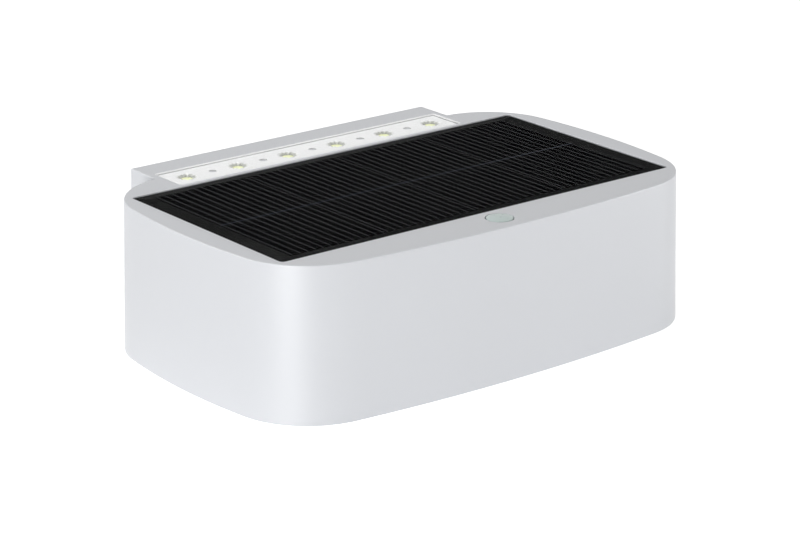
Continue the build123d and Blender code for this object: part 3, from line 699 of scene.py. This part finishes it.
def make_housing():
    """Drafted shell with its cavity, pocket, bosses, seats, channel, pegs and bores."""
    outline, face = housing_outline()
    squared_off(drafted(outline, face, body_height))
    shell = rough_solid(outline)
    rebate, face = body_outline(draft_run - rim_wall + beyond * draft_slope, -beyond)
    worked(shell, drafted(rebate, face, ledge_z + beyond), "DIFFERENCE")
    spread = draft_run - skirt_wall - cavity_start * draft_slope
    cavity, face = body_outline(spread, cavity_start)
    worked(shell, drafted(cavity, face, cavity_top - cavity_start), "DIFFERENCE")
    worked(shell, pocket_form(), "DIFFERENCE")
    worked(shell, bosses(), "UNION")
    seat = rounded_face(
        (0, 0),
        panel_length + 2 * panel_fit,
        panel_width + 2 * panel_fit,
        panel_corner + panel_fit,
        panel_seat,
    )
    worked(shell, flared(seat, panel_seat, body_height), "DIFFERENCE")
    seat = rounded_face(
        (0, window_y),
        window_length + 2 * window_fit,
        window_width + 2 * window_fit,
        window_corner + window_fit,
        window_seat,
    )
    worked(shell, flared(seat, window_seat, body_height), "DIFFERENCE")
    channel = rounded_plate(
        (0, window_y), channel_length, channel_width, 0, channel_floor, body_height
    )
    worked(shell, channel, "DIFFERENCE")
    worked(shell, pegs(), "UNION")
    worked(shell, bores(), "DIFFERENCE")
    place, bore = (0, button_y), cap_radius + cap_gap
    low, high = body_height - seat_chamfer, body_height - seat_chamfer + beyond
    rim = round_bar(bmesh.new(), *place, bore, low, high, bore + beyond, button_sides)
    worked(shell, rim, "DIFFERENCE")
    sleeve = cap_flange_radius + guide_gap
    guide = round_bar(bmesh.new(), *place, sleeve, guide_under, shoulder_z, sides=button_sides)
    worked(shell, guide, "DIFFERENCE")
    finished("housing_shell", taken_up(shell), "housing_white", ("housing",), sharp=28)


# ---------------------------------------------------------------- strip over the lights
def cups():
    """Cutter for the cups: wide above, with a ridge and a groove for each pleat."""
    bm = bmesh.new()
    rise = cup_depth + cup_spare
    spread = (cup_radius - throat_radius) * rise / cup_depth
    middle = Matrix.Translation((0, window_y, flange_face - cup_depth + rise / 2))
    for x in lights:
        cone = bmesh.ops.create_cone(
            bm,
            cap_ends=True,
            segments=cup_sides,
            radius1=throat_radius,
            radius2=throat_radius + spread,
            depth=rise,
            matrix=Matrix.Translation((x, 0, 0)) @ middle,
        )
        for vert in cone["verts"]:
            away = Vector((vert.co.x - x, vert.co.y - window_y))
            if round(atan2(away.y, away.x) / (2 * pi / cup_sides)) % 2:
                away *= 1 - cup_pleat
                vert.co.x, vert.co.y = x + away.x, window_y + away.y
    return bm


def make_reflector():
    """Strip with a cup for each light, a thin flange over the ledge and a lip round the window."""
    middle = (0, window_y)
    flange = (flange_length, flange_width, flange_corner)
    strip = rough_solid(rounded_plate(middle, *flange, flange_under, flange_face))
    top = flange_under + strip_bite
    body = rounded_plate(middle, strip_length, strip_width, 0, strip_under, top)
    worked(strip, body, "UNION")
    low, high = strip_under - beyond, flange_face - cup_depth
    for x in lights:
        hole = rounded_plate((x, window_y), light_hole, light_hole, 0, low, high)
        worked(strip, hole, "DIFFERENCE")
    worked(strip, cups(), "DIFFERENCE")
    holes = bmesh.new()
    for x in between_lights:
        radius, top = peg_radius + peg_fit, flange_face + beyond
        round_bar(holes, x, window_y, radius, low, top, sides=hole_sides)
    worked(strip, holes, "DIFFERENCE")
    for x in between_lights:
        place, top = (x, window_y + rib_y), flange_face + rib_rise
        rib = rounded_plate(place, rib_length, rib_width, 0, rib_under, top)
        worked(strip, rib, "UNION")
    lip = rough_solid(rounded_plate(middle, *lip_outer, flange_under, lip_top))
    inside = rounded_plate(middle, *lip_inner, flange_under - beyond, lip_top + beyond)
    worked(lip, inside, "DIFFERENCE")
    worked(strip, taken_up(lip), "UNION")
    finished("light_strip", taken_up(strip), "reflector_white", ("reflector",), sharp=12)


# ---------------------------------------------------------------- button
def make_button():
    """Turned cap: a low dome, a straight side, a flange below and a stem."""
    bm = bmesh.new()
    dome_radius = (cap_radius**2 + cap_dome**2) / (2 * cap_dome)
    top = body_height + cap_dome
    start = bm.verts.new((0, button_y, top))
    made = bmesh.ops.spin(
        bm,
        geom=[start],
        cent=(0, button_y, top - dome_radius),
        axis=(0, 1, 0),
        angle=asin(cap_radius / dome_radius),
        steps=dome_steps,
    )
    edge = next(item for item in made["geom_last"] if isinstance(item, bmesh.types.BMVert))
    for radius, height in (
        (cap_radius, cap_flange_top),
        (cap_flange_radius, cap_flange_top),
        (cap_flange_radius, cap_flange_under),
        (cap_stem_radius, cap_flange_under),
        (cap_stem_radius, stem_end),
        (0, stem_end),
    ):
        edge = bmesh.ops.extrude_vert_indiv(bm, verts=[edge])["verts"][0]
        edge.co = (radius, button_y, height)
    bmesh.ops.spin(
        bm,
        geom=bm.verts[:] + bm.edges[:],
        cent=(0, button_y, 0),
        axis=(0, 0, 1),
        angle=2 * pi,
        steps=button_sides,
        use_merge=True,
    )
    bmesh.ops.remove_doubles(bm, verts=bm.verts, dist=merge_reach)
    finished("button_top", bm, "button_clear", ("button_cap",), "button", round_edges=0.12)


# ---------------------------------------------------------------- base
def make_base():
    """Recessed cover with countersunk holes, and two rails for the battery holder on it."""
    spread = (body_height - cover_bottom) * draft_slope - rim_wall - cover_fit
    bm, face = body_outline(spread, cover_bottom)
    plate = rough_solid(drafted(bm, face, cover_top - cover_bottom))
    low, high = cover_top - rail_root, cover_top + rail_rise
    for side in (-1, 1):
        place = (0, battery_y + side * rail_spacing / 2)
        rail = rounded_plate(place, rail_length, rail_thickness, 0, low, high)
        worked(plate, rail, "UNION")
    hole = base_thread + base_hole_fit
    holes = bmesh.new()
    for x, y in base_bosses:
        round_bar(holes, x, y, hole, hole_start, cover_top + beyond, sides=seat_sides)
    worked(plate, holes, "DIFFERENCE")
    seats = bmesh.new()
    for x, y in base_bosses:
        round_bar(seats, x, y, base_seat_radius, 0, base_seat_depth, top_radius=hole)
    worked(plate, seats, "DIFFERENCE")
    finished("base_plate", taken_up(plate), "cover_white", ("base_cover",))


# ---------------------------------------------------------------- camera, light and floor
def make_camera():
    """Camera at the photograph's viewing angle."""
    camera = bpy.data.cameras.new("view")
    camera.lens = lens_length
    camera.sensor_width = sensor_width
    camera.clip_end = view_reach
    viewer = bpy.data.objects.new("view", camera)
    bpy.context.scene.collection.objects.link(viewer)
    turn = Matrix((view_right, view_up, view_back)).transposed().to_4x4()
    viewer.matrix_world = Matrix.Translation(view_place) @ turn
    bpy.context.scene.camera = viewer
    bpy.context.scene.view_settings.view_transform = "Standard"


def make_lamp(name, place, aim, size, power):
    """Soft rectangular lamp that looks from its place at its aim."""
    lamp = bpy.data.lights.new(name, "AREA")
    lamp.shape = "RECTANGLE"
    lamp.size, lamp.size_y = size
    lamp.energy = power
    holder = bpy.data.objects.new(name, lamp)
    bpy.context.scene.collection.objects.link(holder)
    holder.location = place
    holder.rotation_euler = (Vector(aim) - Vector(place)).to_track_quat("-Z", "Y").to_euler()


def seen_directly(tree):
    """One where a surface is seen by the camera, in a reflection or through glass."""
    path = step(tree, "LightPath")
    seen = sums(tree, "MAXIMUM", path.outputs["Is Camera Ray"], path.outputs["Is Glossy Ray"])
    return sums(tree, "MAXIMUM", seen, path.outputs["Is Transmission Ray"])


def make_world(strength):
    """White surroundings, which light the object at a strength of their own."""
    world = bpy.data.worlds.new("studio")
    bpy.context.scene.world = world
    world.use_nodes = True
    tree = world.node_tree
    soft = tree.nodes["Background"]
    soft.inputs["Color"].default_value = (1.0, 1.0, 1.0, 1.0)
    soft.inputs["Strength"].default_value = strength
    white = step(tree, "Background", {"Color": (1.0, 1.0, 1.0, 1.0), "Strength": 1.0})
    inputs = {0: seen_directly(tree), 1: soft.outputs[0], 2: white.outputs[0]}
    both = step(tree, "MixShader", inputs)
    tree.links.new(both.outputs[0], tree.nodes["World Output"].inputs["Surface"])


def make_floor():
    """White floor, which is seen as white and keeps the object's shadow."""
    bm = bmesh.new()
    bmesh.ops.create_grid(bm, x_segments=1, y_segments=1, size=6.0)
    mesh = bpy.data.meshes.new("floor")
    bm.to_mesh(mesh)
    bm.free()
    floor = bpy.data.objects.new("floor", mesh)
    bpy.context.scene.collection.objects.link(floor)
    material = bpy.data.materials.new("floor_white")
    material.use_nodes = True
    tree = material.node_tree
    shader = tree.nodes["Principled BSDF"]
    shader.inputs["Roughness"].default_value = 0.9
    shader.inputs["Specular IOR Level"].default_value = 0.0
    paper = grain(tree, place_on(tree), 1.5)
    tinted(tree, shader, paper, paint(228, 228, 228), paint(232, 232, 232))
    shader.inputs["Emission Color"].default_value = (1.0, 1.0, 1.0, 1.0)
    glow = sums(tree, "MULTIPLY", seen_directly(tree), 0.8)
    tree.links.new(glow, shader.inputs["Emission Strength"])
    mesh.materials.append(material)


# Each lamp's place, aim and size are in metres, and its power in watts
make_camera()
make_world(0.04)
make_lamp("key", (-0.866, -0.5, 0.06), (0, 0, 0.03), (0.42, 0.11), 5.8)
make_lamp("right", (0.87, -0.5, 0.06), (0, 0, 0.03), (0.35, 0.11), 4.0)
make_lamp("front", (0.0, -0.97, 0.28), (0, 0, 0.02), (0.5, 0.5), 1.2)
make_lamp("top", (0.0, 0.0, 1.0), (0, 0, 0.02), (0.5, 0.5), 1.4)
make_lamp("top_left", (-0.25, 0.0, 0.4), (0, 0, 0.02), (0.4, 0.4), 0.35)
make_lamp("rear", (-0.22, 0.6, 0.79), (0, 0, 0.02), (0.5, 0.5), 3.1)
make_floor()

make_housing()
make_button()
make_base()
make_reflector()
copied("light_window", "window_clear", 0.05, raise_from=window_base, raise_by=window_raise)
for number in range(1, light_count + 1):
    for node, finish in (("light_package", "package_white"), ("phosphor", "phosphor_yellow")):
        copied(f"{node}_{number}", finish, raise_from=light_base, raise_by=window_raise)
# The seal is a real grey part raised with the window. Its edge also stands in for the shade in the
# gap round the window, as a dark line (painted shade)
copied("window_seal", "seal_grey", raise_from=window_base, raise_by=seal_raise)
copied("panel_cover", "panel_clear", 0.04, raise_from=panel_base, raise_by=panel_raise)
copied("panel_board", "panel_black", raise_from=panel_base, raise_by=panel_raise)
for number in range(1, 5):
    node = f"solar_cell_{number}"
    copied(node, "solar_silicon", 0.03, raise_from=panel_base, raise_by=panel_raise)
copied("wall_bracket", "bracket_white", 0.2)
copied("lock_screw", "screw_steel", 0.06)
copied("base_screws", "screw_steel", 0.08)
